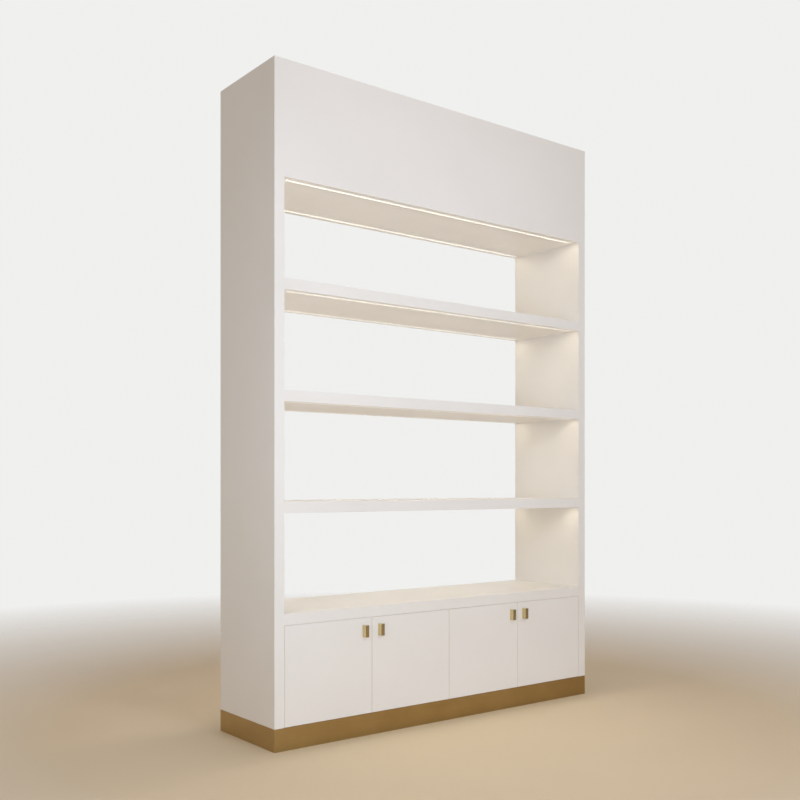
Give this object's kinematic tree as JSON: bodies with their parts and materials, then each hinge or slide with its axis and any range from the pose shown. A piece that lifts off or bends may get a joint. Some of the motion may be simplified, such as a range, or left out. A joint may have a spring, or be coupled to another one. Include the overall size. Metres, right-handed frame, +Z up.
{
  "type": "retail display unit",
  "caption": "Tall open-backed retail display unit: lit shelves between full-height side panels, a deep header above, hinged cupboard doors below and a metal-clad plinth.",
  "frame": {"origin": "on the floor, under the centre of the bounding box, which runs from the knobs' faces to the rear edges of the boards", "axes": "+Z up, +Y from the front to the rear, +X to the right seen from the front"},
  "size_m": [1.584, 0.415, 2.4],
  "materials": {
    "white_lacquer": "satin white lacquer on board",
    "satin_brass": "satin brushed brass",
    "plinth_timber": "bare timber",
    "aluminium": "satin anodised",
    "opal_diffuser": "opal, lit from behind in warm white",
    "zinc_steel": "zinc plated",
    "bush_bronze": "plain turned bronze",
    "driver_case": "matt moulded case",
    "grey_plastic": "matt moulded plastic"
  },
  "bodies": {
    "carcass": {"plinth_frame": "plinth_timber", "plinth_skirt_front": "satin_brass", "plinth_skirt_rear": "satin_brass", "plinth_skirt_left": "satin_brass", "plinth_skirt_right": "satin_brass", "side_panel_left": "white_lacquer", "side_panel_right": "white_lacquer", "cabinet_bottom": "white_lacquer", "cabinet_back": "white_lacquer", "cabinet_divider": "white_lacquer", "cabinet_deck": "white_lacquer", "shelf_lower": "white_lacquer", "shelf_middle": "white_lacquer", "shelf_upper": "white_lacquer", "header_soffit": "white_lacquer", "header_top": "white_lacquer", "header_fascia_front": "white_lacquer", "header_fascia_rear": "white_lacquer", "cable_grommet": "grey_plastic", "led_driver": "driver_case", "led_channel_lower_front": "aluminium", "led_channel_lower_rear": "aluminium", "led_channel_middle_front": "aluminium", "led_channel_middle_rear": "aluminium", "led_channel_upper_front": "aluminium", "led_channel_upper_rear": "aluminium", "led_channel_header_front": "aluminium", "led_channel_header_rear": "aluminium", "led_diffuser_lower_front": "opal_diffuser", "led_diffuser_lower_rear": "opal_diffuser", "led_diffuser_middle_front": "opal_diffuser", "led_diffuser_middle_rear": "opal_diffuser", "led_diffuser_upper_front": "opal_diffuser", "led_diffuser_upper_rear": "opal_diffuser", "led_diffuser_header_front": "opal_diffuser", "led_diffuser_header_rear": "opal_diffuser", "pivot_plate_left_bottom": "zinc_steel", "pivot_plate_left_top": "zinc_steel", "pivot_plate_centre_bottom": "zinc_steel", "pivot_plate_centre_top": "zinc_steel", "pivot_plate_right_bottom": "zinc_steel", "pivot_plate_right_top": "zinc_steel", "magnetic_catch_left": "grey_plastic", "magnetic_catch_right": "grey_plastic"},
    "door_outer_left": {"door_outer_left": "white_lacquer", "knob_outer_left": "satin_brass", "pivot_bush_outer_left_bottom": "bush_bronze", "pivot_bush_outer_left_top": "bush_bronze"},
    "door_inner_left": {"door_inner_left": "white_lacquer", "knob_inner_left": "satin_brass", "pivot_bush_inner_left_bottom": "bush_bronze", "pivot_bush_inner_left_top": "bush_bronze"},
    "door_inner_right": {"door_inner_right": "white_lacquer", "knob_inner_right": "satin_brass", "pivot_bush_inner_right_bottom": "bush_bronze", "pivot_bush_inner_right_top": "bush_bronze"},
    "door_outer_right": {"door_outer_right": "white_lacquer", "knob_outer_right": "satin_brass", "pivot_bush_outer_right_bottom": "bush_bronze", "pivot_bush_outer_right_top": "bush_bronze"}
  },
  "joints": [
    {"name": "door_outer_left_hinge", "type": "hinge", "parent": "carcass", "child": "door_outer_left", "pos_m": [-0.7148, -0.1815, 0.2575], "axis": [0, 0, -1], "range_deg": [0, 110]},
    {"name": "door_inner_left_hinge", "type": "hinge", "parent": "carcass", "child": "door_inner_left", "pos_m": [-0.0366, -0.1815, 0.2575], "axis": [0, 0, 1], "range_deg": [0, 90]},
    {"name": "door_inner_right_hinge", "type": "hinge", "parent": "carcass", "child": "door_inner_right", "pos_m": [0.0366, -0.1815, 0.2575], "axis": [0, 0, -1], "range_deg": [0, 90]},
    {"name": "door_outer_right_hinge", "type": "hinge", "parent": "carcass", "child": "door_outer_right", "pos_m": [0.7148, -0.1815, 0.2575], "axis": [0, 0, 1], "range_deg": [0, 110]}
  ]
}
